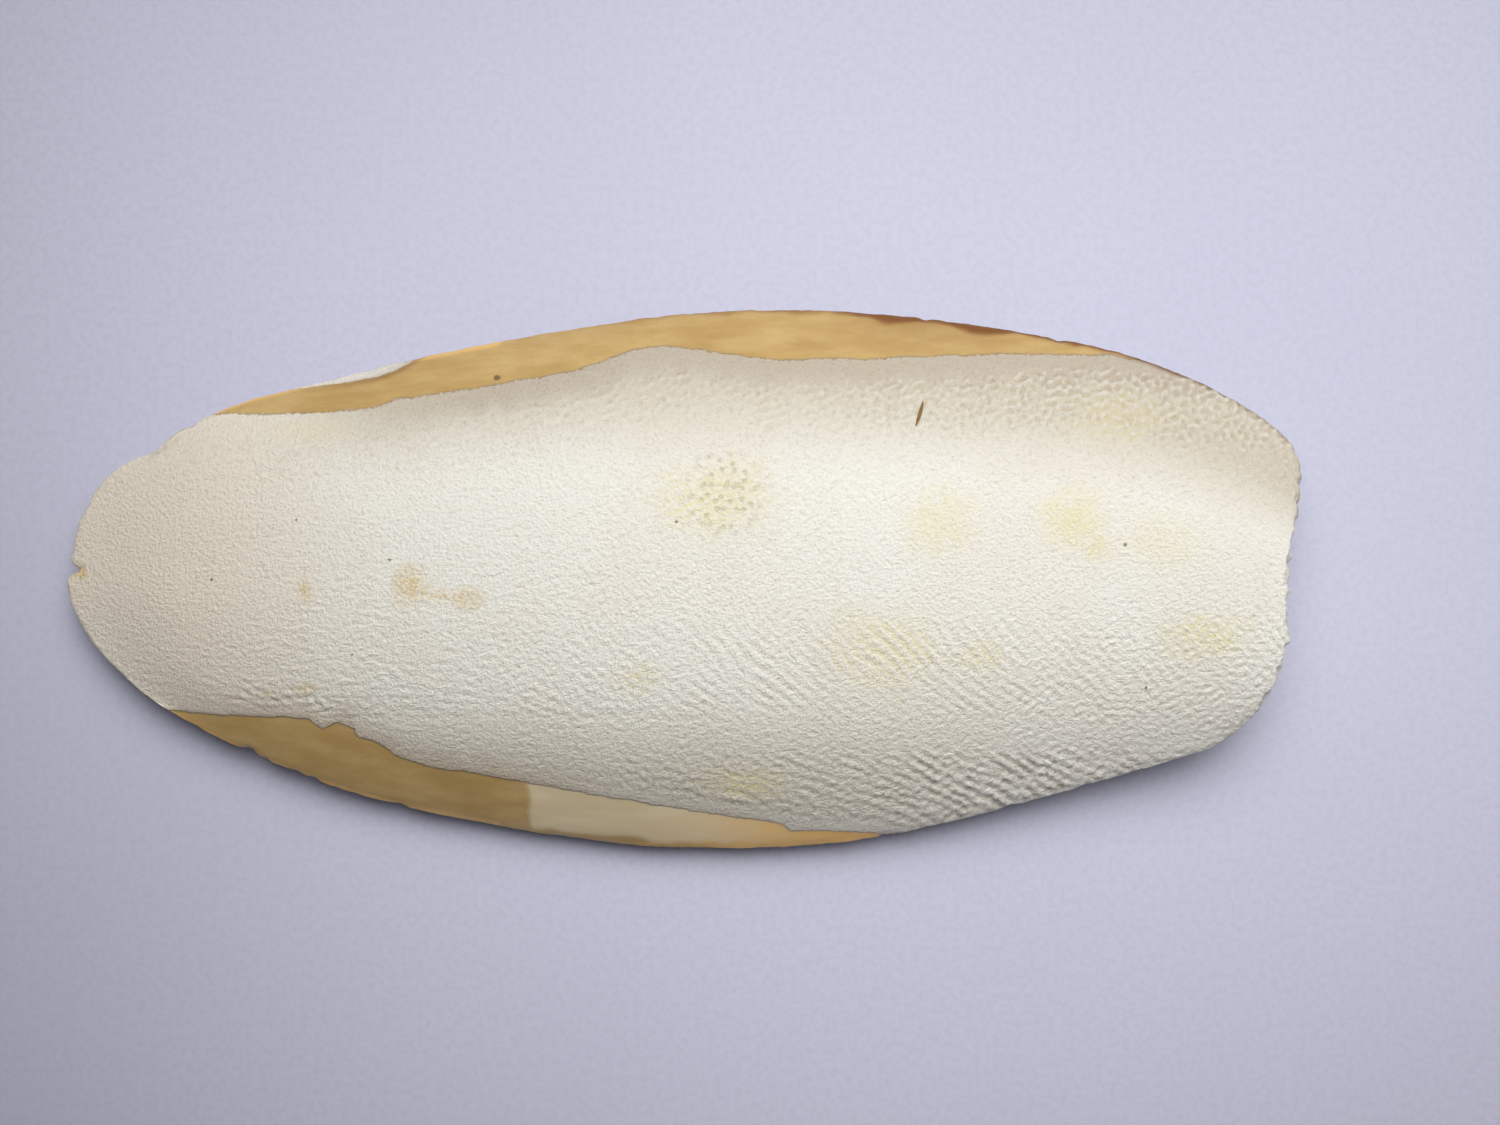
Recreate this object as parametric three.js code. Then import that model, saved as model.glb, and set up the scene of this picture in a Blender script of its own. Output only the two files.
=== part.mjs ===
// A dried cuttlebone, the chalky inner shell of a cuttlefish, lying on its belly with its domed
// back up. It grew as one piece: a domed shield over a chambered body, with a thin horny margin
// along both sides. The rear end has broken off square, and the front tip has a small nick.
// Millimetres. +X runs from the front tip to the broken rear end, +Y to the far side, +Z up.
import * as THREE from "three";
import { mergeVertices } from "three/addons/utils/BufferGeometryUtils.js";

// The outline seen from above, in four stretches that follow each other round the shell.
const FRONT_END = [
  [-57.2, -14.3],
  [-61.9, -10.7],
  [-65.9, -6.2],
  [-68.2, -1.2],
  [-67.7, 2.9],
  [-66.5, 7.3],
  [-64.4, 10.7],
  [-61.6, 13.0],
  [-58.6, 14.9],
];
const FAR_SIDE = [
  [-54.9, 16.9],
  [-50.2, 19.1],
  [-45.1, 20.8],
  [-36.2, 23.0],
  [-27.3, 25.2],
  [-13.9, 27.7],
  [-0.6, 29.6],
  [12.7, 30.1],
  [26.1, 29.2],
  [39.4, 27.2],
  [48.3, 25.2],
  [57.2, 21.7],
  [64.7, 16.9],
];
const REAR_END = [
  [67.8, 12.3],
  [67.4, 8.3],
  [66.1, 2.8],
  [65.6, -2.2],
  [65.8, -6.7],
  [64.4, -11.7],
];
const NEAR_SIDE = [
  [61.6, -15.8],
  [57.2, -18.7],
  [48.3, -21.6],
  [39.4, -24.3],
  [30.5, -26.7],
  [21.6, -28.7],
  [12.7, -29.8],
  [1.6, -30.0],
  [-9.5, -29.2],
  [-22.8, -27.1],
  [-36.2, -23.9],
  [-47.9, -19.3],
];

// Heights above the surface that the shell lies on, at even steps from the front to the rear.
const MARGIN_LINE = [5.2, 4.6, 4.1, 3.7, 3.5, 3.5, 3.7, 4.3, 5.3, 6.7, 8.4];
const BELLY_LINE = [4.3, 3.0, 1.5, 0.4, -0.1, -0.2, 0, 0.9, 2.8, 5.3, 8.0];
// The back's rise above the margin at the same steps.
const BACK_RISE = [0, 4.4, 7.6, 9.9, 11.3, 11.8, 11.5, 10.6, 9.1, 7.1, 5.0];

// Where the chalky shield ends and the horny margin begins, as a share of the half width.
const FAR_SHIELD_EDGE = [1, 0.97, 0.82, 0.81, 0.84, 0.85, 0.8, 0.83, 0.92, 1, 1];
const NEAR_SHIELD_EDGE = [1, 0.85, 0.66, 0.75, 0.82, 0.85, 0.92, 0.98, 1, 1, 1];
const OUTERMOST_STEP = 0.93; // nearer the edge than this the step fades away
const SHIELD_STEP = 0.3; // height of the shield's edge above the margin
const STEP_HALF_WIDTH = 0.02; // as a share of the half width

const BACK_ROUNDNESS = 2.2; // 2 is a parabola across, and more is flatter on top
const BELLY_ROUNDNESS = 2.6;
const MARGIN_THICKNESS = 0.8;
const BROKEN_EDGE_THICKNESS = 2.4;
const THICKENS_FROM = 0.85; // a share of the length

// The chambered body below the shield, as a share of the half width.
const BODY_SHARE_FRONT = 0.88;
const BODY_SHARE_REAR = 0.62;
const BODY_NARROWS_FROM = 0.55; // a share of the length

// On the belly: a smooth last chamber in front, then a zone of older chambers with a groove along
// its middle, and two low ridges that close in towards the rear round a shallow hollow. Each sets
// in between two shares of the length.
const CHAMBER_LEDGE = 0.4;
const CHAMBER_END = [0.57, 0.6];
const CHAMBER_SWEEP = 0.2; // how much farther back its end is at the sides
const GROOVE_DEPTH = 0.5;
const GROOVE_START = [0.5, 0.62];
const GROOVE_HALF_WIDTH = 0.06; // a share of the half width
const HOLLOW_DEPTH = 1.2;
const HOLLOW_START = [0.62, 0.85];
const HOLLOW_HALF_WIDTH = 0.3; // a share of the half width
const RIDGE_HEIGHT = 0.9;
const RIDGE_START = [0.6, 0.8];
const RIDGE_PLACE = 0.88; // a share of the body's half width
const RIDGE_HALF_WIDTH = 0.11; // a share of the body's half width

// Where the edge is chipped: at the front tip, at the far shoulder and on the near side. Each chip
// goes inwards at an angle that is measured from +X towards +Y.
const NICKS = [
  { x: -68.0, y: 1.1, degrees: 0, depth: 1.5, halfWidth: 0.8 },
  { x: -58.9, y: 14.6, degrees: -55, depth: 0.7, halfWidth: 2.2 },
  { x: -47.9, y: -19.4, degrees: 60, depth: 0.6, halfWidth: 1.3 },
];
const NICK_REACH = 3; // how far its depth is felt, as a multiple of the depth

// The broken rear face is crumbled into hollows, the sum of two waves over the face.
const BREAK_WAVES = [
  { depth: 0.4, alongY: 1.1, alongZ: 1.9 },
  { depth: 0.3, alongY: 2.7, alongZ: -1.3 },
];
const BREAK_REACH = 0.02; // a share of the length

const ROWS = 74;
const HALF_COLUMNS = 15;
const EDGE_STEPS = 2;
const EDGE_INSET = 0.003; // the edge is rounded: both faces stop short of it by this share
const GROOVE_PULL = 0.6; // columns crowd towards the middle, for the nick and the groove
const GROOVE_PULL_REACH = 0.22;
// Two columns hug the shield's step on the back, and four follow the ridge on the belly. At both
// ends the columns of the back and the belly meet.
const SHIELD_COLUMNS = [11 / HALF_COLUMNS, 12 / HALF_COLUMNS];
const RIDGE_COLUMNS = [8 / HALF_COLUMNS, 12 / HALF_COLUMNS];
const RIDGE_INNER_SHARE = 0.7;
const COLUMNS_MEET_WITHIN = 0.05; // a share of the length

const clamp = (value, low, high) => Math.min(high, Math.max(low, value));
const mix = (from, to, share) => from + (to - from) * share;
const bump = (offset, halfWidth) => Math.exp(-((offset / halfWidth) ** 2));

function smoothStep(from, to, value) {
  const share = clamp((value - from) / (to - from), 0, 1);
  return share * share * (3 - 2 * share);
}

// A smooth line through values given at even steps from 0 to 1.
function alongLength(values, share) {
  const last = values.length - 1;
  const place = clamp(share, 0, 1) * last;
  const first = Math.min(Math.floor(place), last - 1);
  const t = place - first;
  const start = values[first];
  const end = values[first + 1];
  const startSlope = (end - values[Math.max(first - 1, 0)]) / 2;
  const endSlope = (values[Math.min(first + 2, last)] - start) / 2;
  const cubic = 2 * (start - end) + startSlope + endSlope;
  const square = 3 * (end - start) - 2 * startSlope - endSlope;
  return ((cubic * t + square) * t + startSlope) * t + start;
}

// The outline is one closed curve, read as four edges that are each measured from 0 to 1.
const outline = new THREE.CatmullRomCurve3(
  [...FRONT_END, ...FAR_SIDE, ...REAR_END, ...NEAR_SIDE].map(([x, y]) => new THREE.Vector3(x, y, 0)),
  true,
  "catmullrom",
  0.5,
);

function edgeCurve(firstPoint, pointCount) {
  const sampleCount = 40 * pointCount;
  const points = [];
  const lengths = [];
  for (let i = 0; i <= sampleCount; i += 1) {
    const place = firstPoint + (pointCount * i) / sampleCount;
    points.push(outline.getPoint((place / outline.points.length) % 1));
    lengths.push(i === 0 ? 0 : lengths[i - 1] + points[i].distanceTo(points[i - 1]));
  }
  return (share) => {
    const wanted = clamp(share, 0, 1) * lengths[sampleCount];
    const next = Math.max(1, lengths.findIndex((length) => length >= wanted));
    const t = (wanted - lengths[next - 1]) / (lengths[next] - lengths[next - 1]);
    return points[next - 1].clone().lerp(points[next], t);
  };
}

const farStart = FRONT_END.length;
const rearStart = farStart + FAR_SIDE.length;
const nearStart = rearStart + REAR_END.length;
const frontEdge = edgeCurve(0, FRONT_END.length);
const farEdge = edgeCurve(farStart, FAR_SIDE.length);
const rearEdge = edgeCurve(rearStart, REAR_END.length);
const nearEdge = edgeCurve(nearStart, NEAR_SIDE.length);

// The place seen from above. u runs from 0 at the front end to 1 at the rear, and v from -1 at the
// near side to 1 at the far side.
function planPoint(u, v) {
  const across = (v + 1) / 2;
  const ends = frontEdge(across).lerp(rearEdge(1 - across), u);
  const sides = nearEdge(1 - u).lerp(farEdge(u), across);
  const nearChord = frontEdge(0).lerp(rearEdge(1), u);
  const farChord = frontEdge(1).lerp(rearEdge(0), u);
  return ends.add(sides).sub(nearChord.lerp(farChord, across));
}

function shieldEdge(u, side) {
  return alongLength(side > 0 ? FAR_SHIELD_EDGE : NEAR_SHIELD_EDGE, u);
}

function shieldStep(u, v) {
  const edge = shieldEdge(u, v);
  const height = SHIELD_STEP * (1 - smoothStep(OUTERMOST_STEP, 1, edge));
  const line = Math.min(edge, OUTERMOST_STEP);
  return -height * smoothStep(line - STEP_HALF_WIDTH, line + STEP_HALF_WIDTH, Math.abs(v));
}

function backHeight(u, v) {
  const rise = alongLength(BACK_RISE, u) * (1 - Math.abs(v) ** BACK_ROUNDNESS);
  return alongLength(MARGIN_LINE, u) + SHIELD_STEP + rise + shieldStep(u, v);
}

function bodyShare(u) {
  return mix(BODY_SHARE_FRONT, BODY_SHARE_REAR, smoothStep(BODY_NARROWS_FROM, 1, u));
}

// The body fills the shield's hollow and bulges below it.
function bellyHeight(u, v) {
  const thickening = smoothStep(THICKENS_FROM, 1, u);
  const thickness = mix(MARGIN_THICKNESS, BROKEN_EDGE_THICKNESS, thickening);
  const across = Math.abs(v) / bodyShare(u);
  const fullness = Math.max(0, 1 - across ** BELLY_ROUNDNESS);
  const middleDrop = backHeight(u, 0) - thickness - alongLength(BELLY_LINE, u);
  const body = backHeight(u, v) - thickness - middleDrop * fullness;
  const ledge = CHAMBER_LEDGE * smoothStep(...CHAMBER_END, u - CHAMBER_SWEEP * v * v) * fullness;
  const groove = GROOVE_DEPTH * smoothStep(...GROOVE_START, u) * bump(v, GROOVE_HALF_WIDTH);
  const hollow = HOLLOW_DEPTH * smoothStep(...HOLLOW_START, u) * bump(v, HOLLOW_HALF_WIDTH);
  const ridgeRise = RIDGE_HEIGHT * smoothStep(...RIDGE_START, u);
  const ridge = ridgeRise * bump(across - RIDGE_PLACE, RIDGE_HALF_WIDTH);
  return Math.max(0, body + ledge + groove + hollow - ridge);
}

// Piecewise straight, through [0, 0], the two marks and [1, 1].
function throughMarks(value, from, fromShare, to, toShare) {
  if (value < from) return mix(0, fromShare, value / from);
  if (value < to) return mix(fromShare, toShare, (value - from) / (to - from));
  return mix(toShare, 1, (value - to) / (1 - to));
}

function backColumn(u, even, side) {
  const line = Math.min(shieldEdge(u, side), OUTERMOST_STEP);
  const [inner, outer] = SHIELD_COLUMNS;
  return throughMarks(even, inner, line - STEP_HALF_WIDTH, outer, line + STEP_HALF_WIDTH);
}

function bellyColumn(u, even) {
  const line = bodyShare(u);
  const [inner, outer] = RIDGE_COLUMNS;
  return throughMarks(even, inner, line * RIDGE_INNER_SHARE, outer, line);
}

// The share of the half width where a column lies, which was at the share even in the block.
function columnShare(u, even, onBack) {
  const size = Math.abs(even);
  const followed = onBack ? backColumn(u, size, even) : bellyColumn(u, size);
  const nearEnd = 1 - smoothStep(0, COLUMNS_MEET_WITHIN, Math.min(u, 1 - u));
  const share = mix(followed, size, nearEnd);
  return Math.sign(even) * (share - GROOVE_PULL * share * bump(share, GROOVE_PULL_REACH));
}

// How far the nicks push the place inwards.
function nickShift(place) {
  const shift = new THREE.Vector3();
  for (const { x, y, degrees, depth, halfWidth } of NICKS) {
    const angle = THREE.MathUtils.degToRad(degrees);
    const inwards = new THREE.Vector3(Math.cos(angle), Math.sin(angle), 0);
    const offset = new THREE.Vector3(place.x - x, place.y - y, 0);
    const along = offset.dot(inwards);
    const across = offset.cross(inwards).z;
    const size = depth * bump(across, halfWidth) * bump(along, NICK_REACH * depth);
    shift.addScaledVector(inwards, size);
  }
  return shift;
}

function breakHollow(y, z) {
  let hollow = 0;
  for (const { depth, alongY, alongZ } of BREAK_WAVES) {
    hollow += depth * (0.5 + 0.5 * Math.sin(alongY * y + alongZ * z));
  }
  return hollow;
}

// A finely divided block whose top becomes the back, whose underside becomes the belly, and whose
// four sides become the edge.
function shellGeometry() {
  const block = new THREE.BoxGeometry(1, 1, 1, ROWS, 2 * HALF_COLUMNS, EDGE_STEPS);
  block.deleteAttribute("normal");
  block.deleteAttribute("uv");
  const shell = mergeVertices(block, 1e-5);
  const position = shell.getAttribute("position");
  for (let i = 0; i < position.count; i += 1) {
    const up = position.getZ(i) + 0.5;
    const onEdge = up > 0.01 && up < 0.99;
    const inset = onEdge ? 0 : EDGE_INSET;
    const row = position.getX(i) + 0.5;
    const u = clamp(row, inset, 1 - inset);
    const v = clamp(columnShare(row, 2 * position.getY(i), up > 0.5), 2 * inset - 1, 1 - 2 * inset);
    const z = mix(bellyHeight(u, v), backHeight(u, v), up);
    const place = planPoint(u, v);
    place.add(nickShift(place));
    place.x -= breakHollow(place.y, z) * smoothStep(1 - BREAK_REACH, 1, u);
    position.setXYZ(i, place.x, place.y, z);
  }
  return shell;
}

const geometry = shellGeometry();
geometry.computeBoundingBox();
const middle = geometry.boundingBox.getCenter(new THREE.Vector3());
geometry.translate(-middle.x, -middle.y, -geometry.boundingBox.min.z);
geometry.computeVertexNormals();

const cuttlebone = new THREE.Mesh(
  geometry,
  new THREE.MeshStandardMaterial({ color: 0xe9e2d2, roughness: 0.9, metalness: 0 }),
);
cuttlebone.name = "cuttlebone";

const part = new THREE.Group();
part.add(cuttlebone);
export default part;
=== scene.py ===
"""A dried cuttlebone on a pale floor, seen from above.

The shell is one closed mesh in the shape of the solid, with ridges and beads on the back, growth
stripes on the belly, a ragged horny margin and a crumbled rear end. Lengths are in millimetres
until the mesh is written, in metres. x runs from the front tip to the rear end, y to the far
side, z up.
"""

import bpy
import numpy as np
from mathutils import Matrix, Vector


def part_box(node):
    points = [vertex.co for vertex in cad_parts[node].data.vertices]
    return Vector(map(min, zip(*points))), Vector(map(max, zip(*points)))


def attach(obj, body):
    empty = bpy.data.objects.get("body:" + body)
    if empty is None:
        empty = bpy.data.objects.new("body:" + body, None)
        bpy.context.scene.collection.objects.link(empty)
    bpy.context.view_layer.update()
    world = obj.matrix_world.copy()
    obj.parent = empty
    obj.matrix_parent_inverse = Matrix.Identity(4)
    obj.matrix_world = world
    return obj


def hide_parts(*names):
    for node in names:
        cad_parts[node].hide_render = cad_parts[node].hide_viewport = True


MM = 0.001
SEED = 7
LATTICE = 256

# The outline seen from above, in four stretches that follow each other round the shell.
FRONT_END = (
    (-57.2, -14.3),
    (-61.9, -10.7),
    (-65.9, -6.2),
    (-68.2, -1.2),
    (-67.7, 2.9),
    (-66.5, 7.3),
    (-64.4, 10.7),
    (-61.6, 13.0),
    (-58.6, 14.9),
)
FAR_SIDE = (
    (-54.9, 16.9),
    (-50.2, 19.1),
    (-45.1, 20.8),
    (-36.2, 23.0),
    (-27.3, 25.2),
    (-13.9, 27.7),
    (-0.6, 29.6),
    (12.7, 30.1),
    (26.1, 29.2),
    (39.4, 27.2),
    (48.3, 25.2),
    (57.2, 21.7),
    (64.7, 16.9),
)
REAR_END = (
    (67.8, 12.3),
    (67.4, 8.3),
    (66.1, 2.8),
    (65.6, -2.2),
    (65.8, -6.7),
    (64.4, -11.7),
)
NEAR_SIDE = (
    (61.6, -15.8),
    (57.2, -18.7),
    (48.3, -21.6),
    (39.4, -24.3),
    (30.5, -26.7),
    (21.6, -28.7),
    (12.7, -29.8),
    (1.6, -30.0),
    (-9.5, -29.2),
    (-22.8, -27.1),
    (-36.2, -23.9),
    (-47.9, -19.3),
)
CURVE_STEPS = 40
LENGTH = 134.0  # along the middle, for shares of the length
HALF_WIDTH = 30  # at the widest place

# Heights above the floor, at even steps from the front to the rear.
MARGIN_LINE = (5.2, 4.6, 4.1, 3.7, 3.5, 3.5, 3.7, 4.3, 5.3, 6.7, 8.4)
BELLY_LINE = (4.3, 3.0, 1.5, 0.4, -0.1, -0.2, 0, 0.9, 2.8, 5.3, 8.0)
BACK_RISE = (0, 4.4, 7.6, 9.9, 11.3, 11.8, 11.5, 10.6, 9.1, 7.1, 5.0)
BACK_ROUNDNESS = 2.2
BELLY_ROUNDNESS = 2.6
MARGIN_THICKNESS = 0.8
BROKEN_EDGE_THICKNESS = 2.4
THICKENS_FROM = 0.85
MARGIN_BLEND = 0.1

# The chalky shield ends along these two lines, and the horny margin shows outside them.
FAR_SHIELD_LINE = (
    (-56.0, 18.0),
    (-40.9, 18.3),
    (-34.4, 18.8),
    (-31.5, 19.8),
    (-21.7, 21.2),
    (-11.9, 23.0),
    (-8.3, 24.2),
    (-5.5, 25.3),
    (-2.0, 25.7),
    (2.4, 25.2),
    (9.5, 24.2),
    (20.5, 24.3),
    (34.6, 24.8),
    (47.4, 24.7),
    (51.5, 23.9),
    (56.0, 23.5),
)
NEAR_SHIELD_LINE = (
    (-58.0, -14.2),
    (-50.5, -14.9),
    (-41.3, -15.2),
    (-39.7, -16.4),
    (-37.9, -15.7),
    (-36.3, -16.4),
    (-35.6, -17.4),
    (-33.8, -17.8),
    (-31.1, -19.6),
    (-27.5, -20.7),
    (-22.8, -21.2),
    (-13.9, -22.9),
    (-5.1, -24.4),
    (11.1, -26.9),
    (12.1, -27.6),
    (23.8, -27.9),
    (27.0, -29.0),
)
SHIELD_STEP = 0.3
SHIELD_WOBBLE = (0.12, 1.1)  # depth and grain of the uneven line
SHIELD_FEATHER = (-3.5, 0.2)  # from where to where the shield thins, past the line
SHIELD_EDGE = (-0.25, 0.25)  # and where what is left of it ends
SHIELD_EDGE_SHARE = 0.45

# Past this line a thin film of chalk covers the near margin, all but its rim.
FILM_START = -16.7
FILM_END = 17.0
FILM_SOFTNESS = 0.4
FILM_LEAN = 0.08
FILM_MIDDLE = -25
FILM_RIM = (0.4, 1.6)

# On the far margin's front the top layer has flaked off outside this line.
FLAKE_LINE = (
    (-44.3, 20.7),
    (-40.3, 21.3),
    (-36.9, 21.7),
    (-33.7, 22.3),
    (-32.1, 22.8),
    (-31.2, 23.2),
    (-29.6, 24.1),
    (-28.0, 25.2),
)
FLAKE_DEPTH = 0.25
FLAKE_SOFTNESS = 0.12
NO_FLAKE = -9.0  # how far inside the line every other place counts as

# The body below the shield, and what the belly shows, as in the solid.
BODY_SHARE_FRONT = 0.88
BODY_SHARE_REAR = 0.62
BODY_NARROWS_FROM = 0.55
CHAMBER_LEDGE = 0.4
CHAMBER_END = (0.57, 0.585)
CHAMBER_SWEEP = 0.2
GROOVE_DEPTH = 0.5
GROOVE_START = (0.5, 0.62)
GROOVE_HALF_WIDTH = 0.06
HOLLOW_DEPTH = 1.2
HOLLOW_START = (0.62, 0.85)
HOLLOW_HALF_WIDTH = 0.3
RIDGE_HEIGHT = 0.9
RIDGE_START = (0.6, 0.8)
RIDGE_PLACE = 0.88
RIDGE_HALF_WIDTH = 0.11
STRIPE_HEIGHT = 0.16
STRIPE_ROWS = 3  # rows of the mesh to one stripe
STRIPED_SHARE = (0.78, 0.98)  # the stripes end between these shares of the body's width
STRIPE_PATCHES = (0.7, 0.5, 7)  # how strong they are, how much that varies, and the patches' size

# Chips in the edge: x, y, the angle that each goes inwards at, its depth and its half width.
NICKS = (
    (-68.0, 1.1, 0, 1.3, 0.55),
    (-58.9, 14.6, -55, 0.7, 2.2),
    (-54.3, 17.3, -60, 0.3, 0.7),
    (-66.0, 8.6, -15, 0.3, 0.8),
    (-48.1, -19.3, 60, 0.6, 0.9),
    (-46.3, -20.1, 65, 0.3, 0.5),
    (-42.8, -21.7, 65, 0.3, 0.7),
    (-40.9, -22.2, 70, 0.25, 0.4),
    (-31.4, -25.3, 75, 0.25, 0.6),
    (22.3, -28.5, 100, 0.2, 0.5),
    (36.2, -25.2, 110, 0.2, 1.0),
    (44.3, -22.9, 110, 0.25, 0.8),
    (49.9, -21.2, 110, 0.2, 0.6),
    (27.0, 29.1, -95, 0.2, 0.6),
    (41.6, 26.7, -105, 0.25, 0.7),
)
NICK_REACH = 1.2
RAGGED_SIZES = ((0.1, 0.7), (0.16, 2.3))  # depth and grain of the ragged side edges
RAGGED_REACH = 0.9
RAGGED_FINENESS = 3  # how much finer the grain is across than along

# The broken rear end: two waves as in the solid, and grains that crumble from it.
BREAK_WAVES = ((0.4, 1.1, 1.9), (0.3, 2.7, -1.3))
BREAK_REACH = 0.02
CRUMBLE_SIZES = ((0.3, 1.3), (0.2, 0.6))
CRUMBLE_REACH = 1.6
CRUMBLE_SHARE = 0.6
CRUMBLE_FINENESS = 1.3  # how much finer the grains are up than across
BREAK_ROUNDING = 0.8
BREAK_ROUNDING_REACH = 0.8

# The layers of the back's relief: the pitch, and its spread in waves to the millimetre.
FALLS = (1.15, 0.14)  # ridges that fall to the rear
RISES = (1.15, 0.16)  # ridges that rise to it
ROUGH = (1.05, 0.27)  # short, uneven ridges
BEADS = (1.15, 0.16)  # round beads
GRAINS = (0.85, 0.28)  # fine grains

# How high each layer stands in each zone of the back, as the standard deviation of its height.
RELIEF = {
    "falls": {"falling": 0.066, "upper": 0.018},
    "rises": {"rising": 0.022, "far_front": 0.04},
    "rough": {"low_band": 0.06, "low_rear": 0.07, "far_rear": 0.043, "ridged": 0.01},
    "beads": {"back": 0.015, "near_front": 0.025, "far_band": 0.02, "far_rear": 0.02},
    "grains": {
        "back": 0.04,
        "near_front": 0.02,
        "ridged": 0.02,
        "strip": 0.015,
        "low_band": 0.03,
        "far_band": 0.03,
        "far_rear": 0.06,
        "crusty": 0.04,
    },
}

# Zones with an end on both sides: from, to, and how soft the ends are.
RIDGED_Y = (-16, -5, 2.5)
UPPER_Y = (-6, 14, 4)
CALM_Y = (-3, 9, 4)
LOW_BAND_X = (-10, 50, 8)
LOW_BAND_Y = (-28, -18.8, 1.3)
NEAR_FRONT_X = (-46, 2, 9)
NEAR_FRONT_Y = (-15, 1, 3)
CRUSTY_X = (-50, -26, 4)
CRUSTY_Y = (-15, -11.5, 0.8)
STRIP_Y = (-18.6, -15.8, 0.7)
STRIP_END = 40

# Where zones change along the shell, from the first x to the second.
FALLING_STARTS = (-24, 0)
FALLING_FADES = (46, 58)
RISING_STARTS = (-20, 2)
CALM_STARTS = (10, 26)
FAR_REAR_STARTS = (12, 24)
LOW_REAR_STARTS = (14, 32)
CORNER_STARTS = (30, 45)
FRONT_END_CALM = (-58, -42)

FALLING_AT_FRONT = 0.2
FALLING_AT_REAR = 0.6
CALM_SHARE = 0.75
STRIP_CALM = 0.7
FRONT_END_SHARE = 0.45
PATCH_LEVEL = 0.85
PATCHES = ((0.3, 6), (0.4, 1.7))  # how much the ridges vary, and the patches' size

# How far inside the shield's line the far band lies, and where the relief fades in.
FAR_BAND_START = (2.4, 1.4)  # most of the way, and at the far rear corner
FAR_BAND_END = 8.5
FAR_BAND_SOFTNESS = 1.6
FAR_FADE_START = (0.8, 0.2)  # the same two places
FAR_FADE_END = (3.4, 1.6)
EDGE_FADE = (0.4, 1.6)  # from and to, on both sides

# How steeply the ridges run, in degrees: where y is 0, the change with y, the least, the most.
FALLING_SLANT = (57, 1.6, 8, 50)
RISING_SLANT = (50, -1.6, 8, 44)
SLANT_CHANGE = 0.15  # the change with x
SLANT_CENTRE = 20
SLANT_MEETING = 1  # the rough ridges fall below this y and rise above it
BENDS = (0.3, 2.5)  # how far the ridges wander, and over what length

# A fine groove along the near side.
LINE_LEVEL = -15.15
LINE_DEPTH = 0.06
LINE_HALF_WIDTH = 0.22
LINE_X = (-41, 3, 3)
LINE_WANDER = (0.2, 4)

RELIEF_SINK = 0.17  # the relief's middle lies this far below the solid's surface
RELIEF_FADE = 0.6
SINK_FADE = 6
DEEPEST = 0.15  # the depth where the painted shade in the pits is darkest
RIDGE_GRID = 0.2
RIDGE_REACH_X = 72
RIDGE_REACH_Y = 32
RIDGE_TURN = np.pi / 36
RIDGE_ROUNDS = 2
RIDGE_SHARPNESS = 1.2

# A patch with small olive dots.
PITTED_PLACE = (4.6, 9.4)
PITTED_SIZE = (5.2, 5.6)
PITTED_FADE = (1.1, 0.5)

BACK_ROWS = 380
BACK_COLUMNS = 200
BELLY_ROWS = 280
BELLY_COLUMNS = 48
EDGE_LOOPS = 7
EDGE_INSET = 0.003
FRONT_ROWS = 0.27  # this share of the rows covers the share of the length on the next line
FRONT_LENGTH = 0.36

# Where the colours of the back lie. A pair says from where to where a colour comes or goes.
COLOUR_WOBBLE = 1.6  # the grain of their uneven edges
HORN_SOFTNESS = (0.2, 0.45)  # on the near and on the far side
BROWN_STARTS = (10, 21)
BROWN_ENDS = (59, 64)
BROWN_WIDTH = 0.35
BROWN_SPOTS = ((23, 2.8), (32.5, 3.2))  # where the brown line is wider: x and half length
BROWN_SPOT_WIDTH = 0.9
BLUSH_X = (26, 8)
BLUSH_ENDS = (1.5, 4.5)
BLUSH_STRENGTH = 0.3
THIN_RIM_STARTS = (-14, 4)
THIN_RIM_ENDS = (0.1, 0.9)
THIN_RIM_STRENGTH = 0.55
# The dark line along the flake's edge: partly brown horn, partly painted shadow where the top layer
# stands out.
FLAKE_RIM_PLACE = 0.2
FLAKE_RIM_HALF_WIDTH = 0.35
FLAKE_RIM_STARTS = (-45, -31)
FLAKE_RIM_STRENGTH = 0.5
FLAKE_WHITE = 0.3
BRIGHT_STARTS = (-8, 8)
BRIGHT_RIM_PLACE = 0.3
BRIGHT_RIM_HALF_WIDTH = 0.5
BRIGHT_RIM_END = -20
BRIGHT_RIM_STRENGTH = 0.8
FRONT_ENDS = (-56, -30)
# The flanks' tan tone, darkened with painted shade: where it starts on each side as a share of the
# half width, where it fades out along the near side, and how strong it is there.
FAR_TAN_AND_SHADE_STARTS = (0.3, 0.75)
NEAR_TAN_AND_SHADE_STARTS = (0.35, 0.75)
NEAR_TAN_AND_SHADE_ENDS = (0, 45)
NEAR_TAN_AND_SHADE_STRENGTH = 0.7
BAND_REACH = (-4.5, -0.8)
BAND_STARTS = (-42, -18)
TINT_REACH = (-2.8, -0.2)
TINT_X = (-52, -12, 8)
TINT_STRENGTH = 0.55
BELLY_RIM = (0.93, 1.0)  # where the horn begins, in front and at the rear
BELLY_RIM_NARROWS = (0.62, 0.95)
BELLY_RIM_STARTS = (0.04, 0.14)
BELLY_RIM_SOFTNESS = 0.05
BELLY_WARMTH = 0.4

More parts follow.
